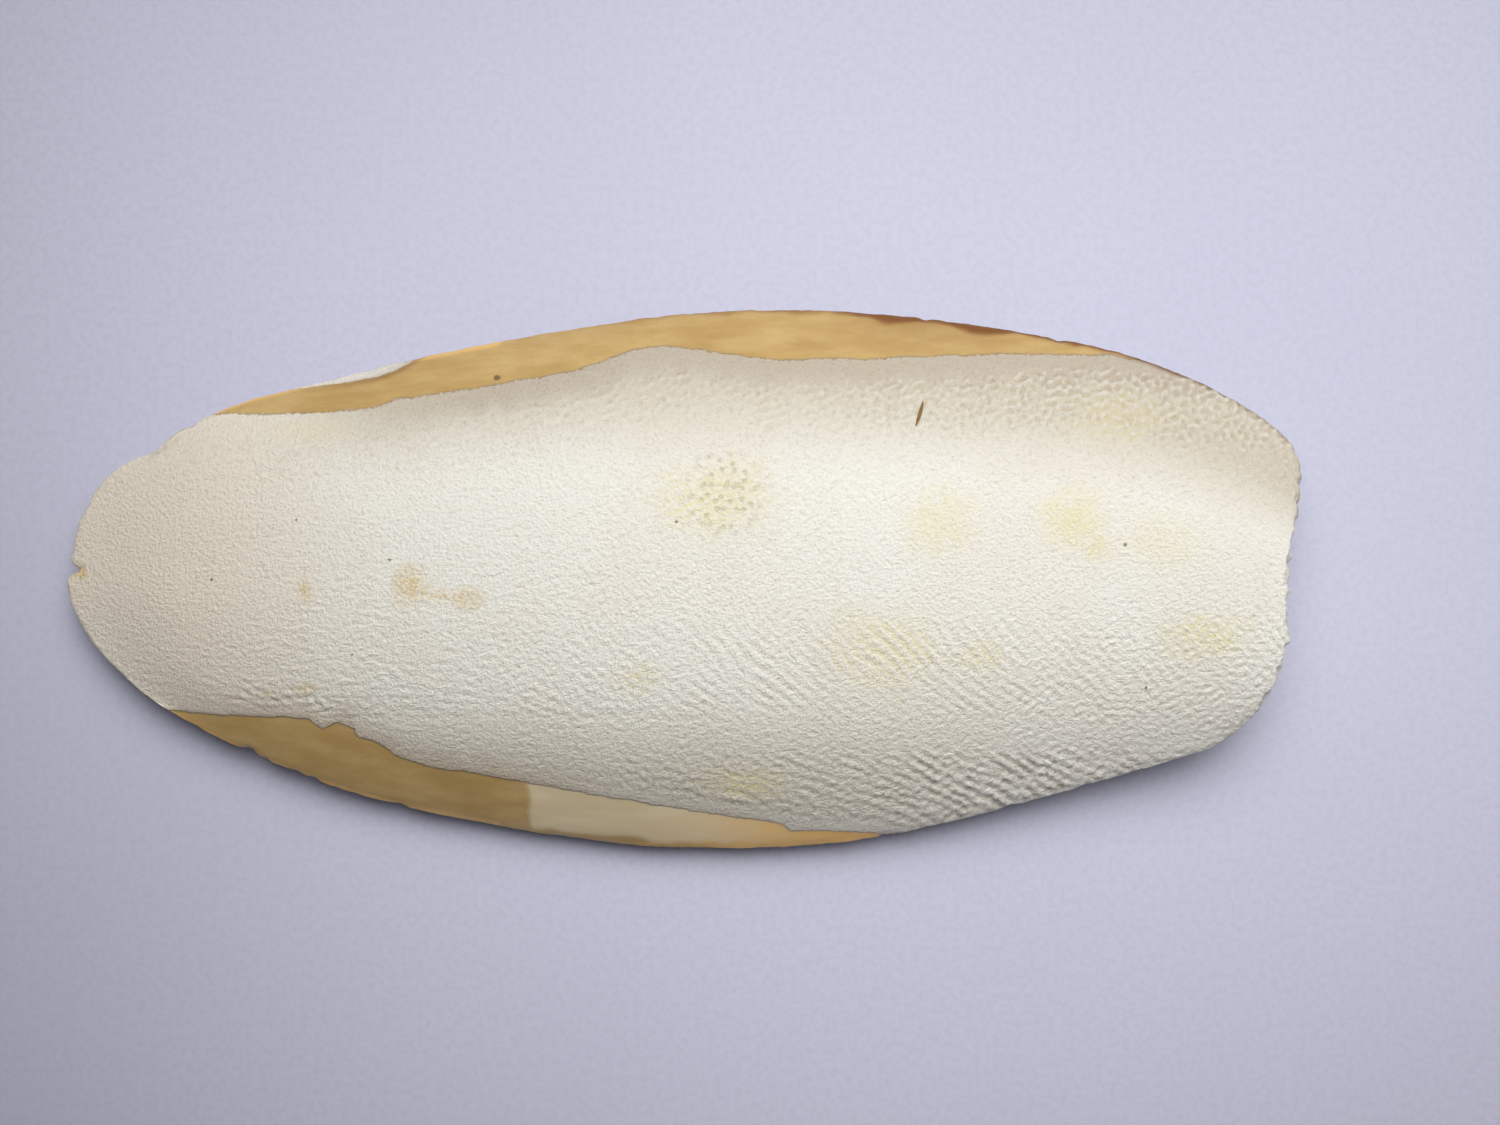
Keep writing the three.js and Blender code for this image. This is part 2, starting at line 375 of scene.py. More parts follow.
# Stains on the back: x, y, half length, half width, strength.
YELLOW_STAINS = (
    (3.8, 8.9, 7.5, 4.6, 0.75),
    (28.3, 6.1, 4.6, 4.2, 0.7),
    (43.2, 6.6, 4.0, 3.4, 1.0),
    (45.8, 3.6, 1.8, 2.0, 0.8),
    (57.7, -6.3, 5.8, 3.0, 0.7),
    (22.7, -7.8, 7.5, 5.6, 0.6),
    (33.0, -8.5, 3.0, 2.0, 0.6),
    (7.2, -22.4, 5.0, 2.0, 0.8),
    (-5.0, -10.8, 3.2, 1.8, 0.5),
    (53.0, 4.0, 5.0, 4.0, 0.4),
    (48.0, 17.5, 6.0, 3.0, 0.35),
    (-40.0, 16.5, 6.0, 1.6, 0.4),
)
ORANGE_STAINS = (
    (-29.9, -0.9, 2.3, 2.5, 0.9),
    (-26.6, -1.8, 1.8, 1.0, 0.7),
    (-23.9, -1.9, 2.4, 1.4, 0.85),
    (-41.6, -1.2, 0.8, 1.5, 0.8),
    (-41.4, -11.9, 1.5, 0.8, 0.6),
    (-45.5, -12.6, 1.4, 0.7, 0.5),
    (-66.3, 0.9, 0.9, 0.9, 1.6),
)
STAIN_MOTTLE = ((1, 1.4), (0.6, 0.6))
STAIN_RAGGED = 0.22
STAIN_FADE = (1.3, 0.2)

# Dark specks: x, y, radius.
SPECKS = (
    (-51.9, 0.0, 0.17),
    (-32.3, 2.2, 0.16),
    (-20.4, 22.3, 0.4),
    (-0.6, 6.4, 0.15),
    (48.9, 3.9, 0.18),
    (51.2, -12.0, 0.2),
    (-42.6, 6.6, 0.13),
    (-36.4, -8.3, 0.14),
)

FIBRE_ENDS = ((26.6, 19.7), (25.8, 17.0))
FIBRE_RADIUS = 0.19
FIBRE_SIDES = 6
FIBRE_STEPS = 12
FIBRE_BOW = 0.05
FIBRE_TIP = 0.04

# The camera looks straight down. The picture is 1500 pixels wide, 9.06 to the millimetre.
PICTURE_WIDTH = 1500 / 9.06
PICTURE_CENTRE = (7.5, 1.9)
MARGIN_LEVEL = 6.0  # the height that the picture's scale was read at
LENS = 50.0
SENSOR = 36.0
CAMERA_HEIGHT = MARGIN_LEVEL + PICTURE_WIDTH * LENS / SENSOR

# One soft lamp above the far side, with a faint light all round. These are in metres.
LAMP_PLACE = (0.045, 0.1, 0.19)
LAMP_AIM = (0.0335, 0.01, 0)
LAMP_SIZE = (0.3, 0.22)
LAMP_ENERGY = 0.197
LAMP_SPREAD = 1.3
ROOM_STRENGTH = 0.13
FLOOR_REACH = 1.5


def smooth_step(low, high, value):
    share = np.clip((value - low) / (high - low), 0, 1)
    return share * share * (3 - 2 * share)


def bump(offset, half_width):
    return np.exp(-((offset / half_width) ** 2))


def mix(first, second, share):
    return first + (second - first) * share


def smooth_between(before, start, end, after, t):
    """A place on the smooth curve from start to end, as t goes from 0 to 1."""
    start_slope = (end - before) / 2
    end_slope = (after - start) / 2
    cubic = 2 * (start - end) + start_slope + end_slope
    square = 3 * (end - start) - 2 * start_slope - end_slope
    return ((cubic * t + square) * t + start_slope) * t + start


def along_length(values, share):
    """A smooth line through values at even steps from 0 to 1."""
    values = np.asarray(values, float)
    last = len(values) - 1
    place = np.clip(share, 0, 1) * last
    first = np.minimum(place.astype(int), last - 1)
    four = (values[np.clip(first + k, 0, last)] for k in (-1, 0, 1, 2))
    return smooth_between(*four, place - first)


def smooth_noise(x, y, size, seed):
    """Soft random hills from -1 to 1 that are about size millimetres across."""
    lattice = np.random.default_rng(seed).uniform(-1, 1, (LATTICE, LATTICE))
    column = x / size
    row = y / size
    left = np.floor(column).astype(int)
    low = np.floor(row).astype(int)
    across = smooth_step(0, 1, column - left)
    up = smooth_step(0, 1, row - low)

    def corner(i, j):
        return lattice[(left + i) % LATTICE, (low + j) % LATTICE]

    return mix(mix(corner(0, 0), corner(1, 0), across), mix(corner(0, 1), corner(1, 1), across), up)


def layered_noise(x, y, layers, seed):
    """A sum of noises. Each layer has its height and its size."""
    return sum(layer[0] * smooth_noise(x, y, layer[1], seed + k) for k, layer in enumerate(layers))


def outline_edges():
    """The four stretches of the outline, each as a function of a share from 0 to 1."""
    stretches = (FRONT_END, FAR_SIDE, REAR_END, NEAR_SIDE)
    points = np.array([point for stretch in stretches for point in stretch])

    def curve(place):
        first = np.floor(place).astype(int)
        four = (points[(first + k) % len(points)] for k in (-1, 0, 1, 2))
        return smooth_between(*four, (place - first)[:, None])

    def edge(first, count):
        samples = curve(first + np.linspace(0, count, CURVE_STEPS * count + 1))
        steps = np.hypot(*np.diff(samples, axis=0).T)
        lengths = np.concatenate(([0], np.cumsum(steps))) / steps.sum()

        def at(share):
            return np.stack([np.interp(share, lengths, samples[:, axis]) for axis in (0, 1)], -1)

        return at

    counts = [len(stretch) for stretch in stretches]
    starts = np.cumsum([0] + counts[:-1])
    return [edge(start, count) for start, count in zip(starts, counts)]


FRONT_EDGE, FAR_EDGE, REAR_EDGE, NEAR_EDGE = outline_edges()


def plan_place(u, v):
    """The place seen from above. u runs from 0 at the front to 1 at the rear, v from -1 to 1."""
    across = (v + 1) / 2
    along = u[..., None]
    side = across[..., None]
    none = np.zeros_like(u)
    full = np.ones_like(u)
    ends = mix(FRONT_EDGE(across), REAR_EDGE(1 - across), along)
    sides = mix(NEAR_EDGE(1 - u), FAR_EDGE(u), side)
    near_chord = mix(FRONT_EDGE(none), REAR_EDGE(full), along)
    far_chord = mix(FRONT_EDGE(full), REAR_EDGE(none), along)
    return ends + sides - mix(near_chord, far_chord, side)


def as_seen(x, y, z):
    """The place at the margin's level that the camera sees in line with x, y, z."""
    centre_x, centre_y = PICTURE_CENTRE
    scale = (CAMERA_HEIGHT - MARGIN_LEVEL) / (CAMERA_HEIGHT - z)
    return centre_x + (x - centre_x) * scale, centre_y + (y - centre_y) * scale


def past_line(x, y, line):
    """How far y is past a line of (x, y) points, away from the middle."""
    line_x, line_y = np.array(line).T
    level = np.interp(x, line_x, line_y)
    return np.where(level > 0, y - level, level - y)


def past_shield(x, y):
    wobble = layered_noise(x, y, (SHIELD_WOBBLE,), SEED + 1)
    far = past_line(x, y, FAR_SHIELD_LINE)
    near = past_line(x, y, NEAR_SHIELD_LINE)
    return np.where(y > 0, far, near) + wobble


def past_flake(x, y):
    inside = (x > FLAKE_LINE[0][0]) & (x < FLAKE_LINE[-1][0]) & (y > 0)
    return np.where(inside, past_line(x, y, FLAKE_LINE), NO_FLAKE)


def half_width_at(u):
    return np.abs(FAR_EDGE(u)[..., 1] - NEAR_EDGE(1 - u)[..., 1]) / 2


def dome_height(u, v):
    """The back's height with the shield's top layer everywhere."""
    rise = along_length(BACK_RISE, u) * (1 - np.abs(v) ** BACK_ROUNDNESS)
    return along_length(MARGIN_LINE, u) + SHIELD_STEP + rise


def back_height(u, v, x, y):
    dome = dome_height(u, v)
    x, y = as_seen(x, y, dome)
    past = past_shield(x, y)
    thinned = smooth_step(*SHIELD_FEATHER, past)
    step = SHIELD_STEP * mix(thinned, smooth_step(*SHIELD_EDGE, past), SHIELD_EDGE_SHARE)
    flake = FLAKE_DEPTH * smooth_step(-FLAKE_SOFTNESS, FLAKE_SOFTNESS, past_flake(x, y))
    broken = BREAK_ROUNDING * bump(1 - u, BREAK_ROUNDING_REACH / LENGTH)
    return dome - step - flake - broken


def body_share(u):
    return mix(BODY_SHARE_FRONT, BODY_SHARE_REAR, smooth_step(BODY_NARROWS_FROM, 1, u))


def belly_height(u, v):
    thickness = mix(MARGIN_THICKNESS, BROKEN_EDGE_THICKNESS, smooth_step(THICKENS_FROM, 1, u))
    across = np.abs(v) / body_share(u)
    fullness = np.clip(1 - across**BELLY_ROUNDNESS, 0, None)
    middle_drop = dome_height(u, np.zeros_like(v)) - thickness - along_length(BELLY_LINE, u)
    body = dome_height(u, v) - thickness - middle_drop * fullness
    under_margin = SHIELD_STEP * (1 - smooth_step(0, MARGIN_BLEND, fullness))
    ledge = CHAMBER_LEDGE * smooth_step(*CHAMBER_END, u - CHAMBER_SWEEP * v * v) * fullness
    groove = GROOVE_DEPTH * smooth_step(*GROOVE_START, u) * bump(v, GROOVE_HALF_WIDTH)
    hollow = HOLLOW_DEPTH * smooth_step(*HOLLOW_START, u) * bump(v, HOLLOW_HALF_WIDTH)
    ridge_rise = RIDGE_HEIGHT * smooth_step(*RIDGE_START, u)
    ridge = ridge_rise * bump(across - RIDGE_PLACE, RIDGE_HALF_WIDTH)
    return np.clip(body + ledge + groove + hollow - ridge - under_margin, 0, None)


def nick_shift(place):
    """How far the chips push each place inwards."""
    shift = np.zeros_like(place)
    for x, y, degrees, depth, half_width in NICKS:
        angle = np.radians(degrees)
        inwards = np.array((np.cos(angle), np.sin(angle)))
        offset = place - (x, y)
        along = offset @ inwards
        across = offset[..., 0] * inwards[1] - offset[..., 1] * inwards[0]
        size = depth * bump(across, half_width) * bump(along, NICK_REACH * depth)
        shift += size[..., None] * inwards
    return shift


def broken_depth(y, z):
    hollow = 0
    for depth, along_y, along_z in BREAK_WAVES:
        hollow = hollow + depth * (0.5 + 0.5 * np.sin(along_y * y + along_z * z))
    for number, (depth, size) in enumerate(CRUMBLE_SIZES):
        grain = smooth_noise(y, CRUMBLE_FINENESS * z, size, SEED + 20 + number)
        hollow = hollow + depth * (1 - np.abs(grain))
    return hollow


def worn_place(u, v, place, z):
    """The place after the chips, the ragged sides and the broken rear end."""
    worn = place + nick_shift(place)
    x, y = place[..., 0], place[..., 1]
    at_side = bump((1 - np.abs(v)) * half_width_at(u), RAGGED_REACH)
    for number, (depth, size) in enumerate(RAGGED_SIZES):
        grain = smooth_noise(x, RAGGED_FINENESS * y, size, SEED + 10 + number)
        ragged = depth * (0.5 + 0.5 * grain)
        worn[..., 1] -= np.sign(v) * ragged * at_side
        worn[..., 0] += ragged * bump(u * LENGTH, RAGGED_REACH)
    crumbled = CRUMBLE_SHARE * bump((1 - u) * LENGTH, CRUMBLE_REACH)
    worn[..., 0] -= broken_depth(y, z) * np.maximum(smooth_step(1 - BREAK_REACH, 1, u), crumbled)
    return worn


def within(value, low, high, softness):
    """1 from low to high and 0 outside, with soft ends."""
    enters = smooth_step(low - softness, low + softness, value)
    return enters * (1 - smooth_step(high - softness, high + softness, value))


def frequencies(shape):
    """The waves to the millimetre, along x and along y, in the spectrum of a ridge grid."""
    along_x = np.fft.fftfreq(shape[0], RIDGE_GRID)
    along_y = np.fft.fftfreq(shape[1], RIDGE_GRID)
    return along_x[:, None], along_y[None, :]


def bead_field(shape, pitch, spread, seed):
    """Round bumps with an even spacing and no direction, scaled to a standard deviation of 1."""
    kernel = np.exp(-((np.hypot(*frequencies(shape)) - 1 / pitch) ** 2) / (2 * spread**2))
    field = np.random.default_rng(seed).standard_normal(shape)
    field = np.fft.ifft2(np.fft.fft2(field) * kernel).real
    return field / field.std()


def ridge_field(slant, pitch, spread, seed):
    """Wavy ridges that run in the direction slant, scaled to a standard deviation of 1.

    Noise is passed again and again through filters that each keep one direction. A small spread
    makes the ridges long and regular."""
    along_x, along_y = frequencies(slant.shape)
    filters = []
    for angle in np.arange(0, np.pi, RIDGE_TURN):
        off = (slant + np.pi / 2 - angle + np.pi / 2) % np.pi - np.pi / 2
        weight = np.clip(1 - np.abs(off) / RIDGE_TURN, 0, None)
        if weight.any():
            peak_x, peak_y = np.cos(angle) / pitch, np.sin(angle) / pitch
            plus = (along_x - peak_x) ** 2 + (along_y - peak_y) ** 2
            minus = (along_x + peak_x) ** 2 + (along_y + peak_y) ** 2
            kernel = np.exp(-plus / (2 * spread**2)) + np.exp(-minus / (2 * spread**2))
            filters.append((kernel, weight))
    field = np.random.default_rng(seed).standard_normal(slant.shape)
    for _ in range(RIDGE_ROUNDS):
        spectrum = np.fft.fft2(field)
        field = sum(weight * np.fft.ifft2(spectrum * kernel).real for kernel, weight in filters)
        field = np.tanh(RIDGE_SHARPNESS * field / field.std())
    return field / field.std()


def sample(field, x, y):
    """The value of a field of the ridge grid at each place."""
    column = (x + RIDGE_REACH_X) / RIDGE_GRID
    row = (y + RIDGE_REACH_Y) / RIDGE_GRID
    left = np.clip(column.astype(int), 0, field.shape[0] - 2)
    low = np.clip(row.astype(int), 0, field.shape[1] - 2)
    near = mix(field[left, low], field[left + 1, low], column - left)
    far = mix(field[left, low + 1], field[left + 1, low + 1], column - left)
    return mix(near, far, row - low)


def slant_at(x, y, middle, change, least, most):
    """How steeply the ridges run at each place as seen from above, in radians."""
    slant = middle + change * y + SLANT_CHANGE * (x - SLANT_CENTRE)
    return np.radians(np.clip(slant, least, most))


def relief_layers(x, y):
    """The layers of the back's relief at each place, each with a standard deviation of 1."""
    grid_x = np.arange(-RIDGE_REACH_X, RIDGE_REACH_X, RIDGE_GRID)
    grid_y = np.arange(-RIDGE_REACH_Y, RIDGE_REACH_Y, RIDGE_GRID)
    grid_x, grid_y = np.meshgrid(grid_x, grid_y, indexing="ij")
    falling = -slant_at(grid_x, grid_y, *FALLING_SLANT)
    rising = slant_at(grid_x, grid_y, *RISING_SLANT)
    nearest = np.where(grid_y < SLANT_MEETING, falling, rising)
    bent_x = x + layered_noise(x, y, (BENDS,), SEED + 35)
    bent_y = y + layered_noise(x, y, (BENDS,), SEED + 36)
    return {
        "falls": sample(ridge_field(falling, *FALLS, SEED + 30), bent_x, bent_y),
        "rises": sample(ridge_field(rising, *RISES, SEED + 31), bent_x, bent_y),
        "rough": sample(ridge_field(nearest, *ROUGH, SEED + 32), bent_x, bent_y),
        "beads": sample(bead_field(grid_x.shape, *BEADS, SEED + 37), bent_x, bent_y),
        "grains": sample(bead_field(grid_x.shape, *GRAINS, SEED + 33), x, y),
    }


def relief_zones(x, y, inside):
    """The zones of the back with relief of their own, as masks from 0 to 1."""
    calm = 1 - CALM_SHARE * within(y, *CALM_Y) * smooth_step(*CALM_STARTS, x)
    ridged = within(y, *RIDGED_Y)
    starts = mix(FALLING_AT_FRONT, 1, smooth_step(*FALLING_STARTS, x))
    fades = mix(1, FALLING_AT_REAR, smooth_step(*FALLING_FADES, x))
    upper = within(y, *UPPER_Y) * calm
    low_band = within(y, *LOW_BAND_Y) * within(x, *LOW_BAND_X)
    corner = smooth_step(*CORNER_STARTS, x)
    band_start = mix(*FAR_BAND_START, corner)
    far_band = within(inside, band_start, FAR_BAND_END, FAR_BAND_SOFTNESS) * (y > 0)
    far_rear = far_band * smooth_step(*FAR_REAR_STARTS, x)
    return {
        "back": 1,
        "calm": calm,
        "ridged": ridged,
        "falling": ridged * starts * fades,
        "upper": upper,
        "rising": upper * smooth_step(*RISING_STARTS, x),
        "low_band": low_band,
        "low_rear": low_band * smooth_step(*LOW_REAR_STARTS, x),
        "far_band": far_band,
        "far_front": far_band - far_rear,
        "far_rear": far_rear,
        "corner": corner,
        "near_front": within(y, *NEAR_FRONT_Y) * within(x, *NEAR_FRONT_X),
        "crusty": within(y, *CRUSTY_Y) * within(x, *CRUSTY_X),
        "strip": within(y, *STRIP_Y) * (x < STRIP_END),
    }


def relief_height(x, y):
    """The height of the relief on the back."""
    inside = -past_shield(x, y)
    zones = relief_zones(x, y, inside)
    height = {}
    for name, layer in relief_layers(x, y).items():
        height[name] = layer * sum(high * zones[zone] for zone, high in RELIEF[name].items())
    ridges = height["falls"] + height["rises"] + height["rough"]
    ridges *= PATCH_LEVEL + layered_noise(x, y, PATCHES, SEED + 40)
    ridges *= 1 - STRIP_CALM * zones["strip"]
    relief = ridges + (height["beads"] + height["grains"]) * zones["calm"]

    far_start = mix(*FAR_FADE_START, zones["corner"])
    far_end = mix(*FAR_FADE_END, zones["corner"])
    far_fade = np.where(y > 0, smooth_step(far_start, far_end, inside), 1)
    front_fade = mix(FRONT_END_SHARE, 1, smooth_step(*FRONT_END_CALM, x))
    from_line = y - LINE_LEVEL - layered_noise(x, y, (LINE_WANDER,), SEED + 42)
    line = LINE_DEPTH * bump(from_line, LINE_HALF_WIDTH) * within(x, *LINE_X)
    return relief * front_fade * far_fade * smooth_step(*EDGE_FADE, inside) - line


def grid_normals(points):
    along = np.gradient(points, axis=0)
    across = np.gradient(points, axis=1)
    normal = np.cross(along, across)
    return normal / np.linalg.norm(normal, axis=-1, keepdims=True)


def grid_faces(first, rows, columns, flip):
    index = first + np.arange((rows + 1) * (columns + 1)).reshape(rows + 1, columns + 1)
    corners = (index[:-1, :-1], index[1:, :-1], index[1:, 1:], index[:-1, 1:])
    quads = np.stack(corners, -1).reshape(-1, 4)
    return quads[:, ::-1] if flip else quads


def boundary(rows, columns):
    """The grid places round the border: the front, the far side, the rear and the near side."""
    along = np.arange(rows)
    across = np.arange(columns)
    i = np.concatenate((0 * across, along, 0 * across + rows, rows - along))
    j = np.concatenate((across, 0 * along + columns, columns - across, 0 * along))
    return i, j


def boundary_share(u, v, rows, columns):
    """A number that grows round the border, by 1 for each of its four stretches."""
    ends = np.cumsum((columns, rows, columns))
    front, far, rear, near = np.split(np.arange(len(u)), ends)
    stretches = ((v[front] + 1) / 2, 1 + u[far], 2 + (1 - v[rear]) / 2, 4 - u[near])
    return np.concatenate(stretches)


def ring_faces(rings):
    """Quads between closed loops that follow each other and have the same number of points."""
    return [
        np.stack([upper, np.roll(upper, -1), np.roll(lower, -1), lower], -1)
        for upper, lower in zip(rings, rings[1:])
    ]


def stitch(first_loop, first_share, second_loop, second_share):
    """Triangles between two closed loops that have different numbers of points."""
    full_round = 4.0
    triangles = []
    i = j = 0
    while i < len(first_loop) or j < len(second_loop):
        next_first = first_share[i + 1] if i + 1 < len(first_loop) else full_round
        next_second = second_share[j + 1] if j + 1 < len(second_loop) else full_round
        here, there = first_loop[i % len(first_loop)], second_loop[j % len(second_loop)]
        if j >= len(second_loop) or (i < len(first_loop) and next_first <= next_second):
            i += 1
            triangles.append((here, first_loop[i % len(first_loop)], there))
        else:
            j += 1
            triangles.append((here, second_loop[j % len(second_loop)], there))
    return triangles


def mesh_grid(rows, columns):
    """Places along and across the shell. Rows lie further apart at the front, where it is fine."""
    row = np.interp(np.linspace(0, 1, rows + 1), (0, FRONT_ROWS, 1), (0, FRONT_LENGTH, 1))
    return np.meshgrid(row, np.linspace(-1, 1, columns + 1), indexing="ij")


def inset_grid(u, v):
    return mix(EDGE_INSET, 1 - EDGE_INSET, u), v * (1 - 2 * EDGE_INSET)


def make_back():
    u, v = inset_grid(*mesh_grid(BACK_ROWS, BACK_COLUMNS))
    place = plan_place(u, v)
    x, y = place[..., 0], place[..., 1]
    z = back_height(u, v, x, y)
    points = np.dstack((worn_place(u, v, place, z), z))
    height = relief_height(*as_seen(x, y, z))
    from_side = (1 - np.abs(v)) * HALF_WIDTH
    from_rear = (1 - u) * LENGTH

    def fade(reach):
        return smooth_step(0, reach, from_side) * smooth_step(0, reach, from_rear)

    relief = height * fade(RELIEF_FADE)
    sink = RELIEF_SINK * fade(SINK_FADE)
    points += grid_normals(points) * (relief - sink)[..., None]
    return u, v, points, height / DEEPEST


def make_belly():
    row, column = mesh_grid(BELLY_ROWS, BELLY_COLUMNS)
    swept = row + CHAMBER_SWEEP * column**2 * np.sin(np.pi * row) ** 2 * smooth_step(0, 0.5, row)
    u, v = inset_grid(swept, column)
    place = plan_place(u, v)
    z = belly_height(u, v)
    inside = 1 - smooth_step(*STRIPED_SHARE, np.abs(v) / body_share(u))
    striped = smooth_step(*CHAMBER_END, u - CHAMBER_SWEEP * v * v) * inside
    number = np.arange(BELLY_ROWS + 1)[:, None]
    stripe = (number % STRIPE_ROWS) / (STRIPE_ROWS - 1) - 0.5
    level, change, size = STRIPE_PATCHES
    patches = level + change * smooth_noise(place[..., 0], place[..., 1], size, SEED + 60)
    relief = stripe * striped * patches
    z = np.maximum(z + STRIPE_HEIGHT * relief, 0)
    points = np.dstack((worn_place(u, v, place, z), z))
    return u, v, points, relief


def make_edge(back_u, back_v, back_points):
    """Loops from the back's border down to the belly's, bulging out between the two."""
    i, j = boundary(BACK_ROWS, BACK_COLUMNS)
    u, v = back_u[i, j], back_v[i, j]
    outer_u = (u - EDGE_INSET) / (1 - 2 * EDGE_INSET)
    outer_v = v / (1 - 2 * EDGE_INSET)
    top = back_points[i, j]
    bottom_z = belly_height(u, v)
    loops = []
    for number in range(1, EDGE_LOOPS + 1):
        down = number / (EDGE_LOOPS + 1)
        bulge = 1 - (2 * down - 1) ** 2
        z = mix(top[:, 2], bottom_z, down)
        loop_u = mix(u, outer_u, bulge)
        loop_v = mix(v, outer_v, bulge)
        place = plan_place(loop_u, loop_v)
        loops.append(np.column_stack((worn_place(loop_u, loop_v, place, z), z)))
    return u, v, loops


def stain_mask(x, y, stains, seed):
    mottle = layered_noise(x, y, STAIN_MOTTLE, seed)
    mask = np.zeros_like(x)
    for centre_x, centre_y, half_x, half_y, strength in stains:
        distance = np.hypot((x - centre_x) / half_x, (y - centre_y) / half_y)
        shown = smooth_step(*STAIN_FADE, distance + STAIN_RAGGED * mottle)
        mask = np.maximum(mask, strength * shown)
    return mask


def film_mask(x, y, from_edge, wobble):
    """The film on the near margin. It starts sharply, fades to the rear and leaves the rim bare."""
    from_start = x + FILM_LEAN * (y - FILM_MIDDLE) + 0.3 * wobble - FILM_START
    starts = smooth_step(-FILM_SOFTNESS, FILM_SOFTNESS, from_start)
    fades = 1 - smooth_step(0, FILM_END, x + 2 * wobble)
    return (y <= 0) * starts * fades * smooth_step(*FILM_RIM, from_edge + 0.5 * wobble)


def brown_mask(x, y, from_edge, wobble):
    """The brown line along the far rim, with a faint blush beside it and a thin end in front."""
    width = BROWN_WIDTH
    for middle, half_length in BROWN_SPOTS:
        width = width + BROWN_SPOT_WIDTH * bump(x - middle, half_length)
    line = smooth_step(*BROWN_STARTS, x) * (1 - smooth_step(*BROWN_ENDS, x))
    line *= 1 - smooth_step(0.5, 1.5, (from_edge + 0.2 * wobble) / width)
    middle, half_length = BLUSH_X
    blush = bump(x - middle, half_length) * (1 - smooth_step(*BLUSH_ENDS, from_edge))
    thin_rim = 1 - smooth_step(*THIN_RIM_ENDS, from_edge + 0.3 * wobble)
    thin_rim *= smooth_step(*THIN_RIM_STARTS, x)
    brown = np.maximum(line, BLUSH_STRENGTH * blush)
    return (y > 0) * np.maximum(brown, THIN_RIM_STRENGTH * thin_rim)


def back_colours(u, v, points):
    """What shows at each place on the back, as masks from 0 to 1."""
    x, y = as_seen(*np.moveaxis(points, -1, 0))
    far = y > 0
    flaked = past_flake(x, y)
    from_edge = (1 - np.abs(v)) * half_width_at(u)
    wobble = smooth_noise(x, y, COLOUR_WOBBLE, SEED + 70)
    past = past_shield(x, y)
    past_softly = past + 0.5 * wobble
    softness = np.where(far, HORN_SOFTNESS[1], HORN_SOFTNESS[0])
    horn = smooth_step(-softness, softness, past)
    horn *= 1 - smooth_step(-FLAKE_SOFTNESS, FLAKE_SOFTNESS, flaked)
    # Partly brown horn, partly painted shadow along the flake's edge.
    flake_edge_brown_and_shadow = bump(flaked + FLAKE_RIM_PLACE, FLAKE_RIM_HALF_WIDTH)
    flake_edge_brown_and_shadow *= FLAKE_RIM_STRENGTH * smooth_step(*FLAKE_RIM_STARTS, x)
    bright_rim = bump(from_edge - BRIGHT_RIM_PLACE, BRIGHT_RIM_HALF_WIDTH) * (x < BRIGHT_RIM_END)
    bright = (1 - far) * smooth_step(*BRIGHT_STARTS, x) + BRIGHT_RIM_STRENGTH * bright_rim
    front = 1 - smooth_step(*FRONT_ENDS, x)
    # The flanks are tan and darkened with painted shade; on the near side this fades out to the
    # rear.
    near_tan_and_shade = smooth_step(*NEAR_TAN_AND_SHADE_STARTS, -v) * (1 - smooth_step(*NEAR_TAN_AND_SHADE_ENDS, x))
    tan_and_shade = smooth_step(*FAR_TAN_AND_SHADE_STARTS, v) + NEAR_TAN_AND_SHADE_STRENGTH * near_tan_and_shade
    tan_and_shade *= 1 - smooth_step(-FLAKE_WHITE, FLAKE_WHITE, flaked)
    tint = TINT_STRENGTH * smooth_step(*TINT_REACH, past_softly) * within(x, *TINT_X)
    pits_x, pits_y = PITTED_PLACE
    half_length, half_width = PITTED_SIZE
    from_pits = np.hypot((x - pits_x) / half_length, (y - pits_y) / half_width)
    return {
        "horn": horn,
        "film": film_mask(x, y, from_edge, wobble),
        # The brown mask also carries the painted shadow along the flake's edge.
        "brown": np.maximum(brown_mask(x, y, from_edge, wobble), flake_edge_brown_and_shadow),
        "bright": bright,
        "front": front,
        "tan_and_shade": tan_and_shade * (1 - front),
        "band": far * smooth_step(*BAND_REACH, past_softly) * smooth_step(*BAND_STARTS, x),
        "tint": (1 - far) * tint,
        "yellow": stain_mask(x, y, YELLOW_STAINS, SEED + 80),
        "orange": stain_mask(x, y, ORANGE_STAINS, SEED + 82),
        "pitted": smooth_step(*PITTED_FADE, from_pits),
    }


def belly_colours(u, v):
    """What shows at each place on the belly. Masks that aren't named are 0 there."""
    rim_start = mix(*BELLY_RIM, smooth_step(*BELLY_RIM_NARROWS, u))
    rim = smooth_step(0, BELLY_RIM_SOFTNESS, np.abs(v) - rim_start)
    return {
        "horn": rim * smooth_step(*BELLY_RIM_STARTS, u),
        "tan_and_shade": np.full_like(u, BELLY_WARMTH),
    }


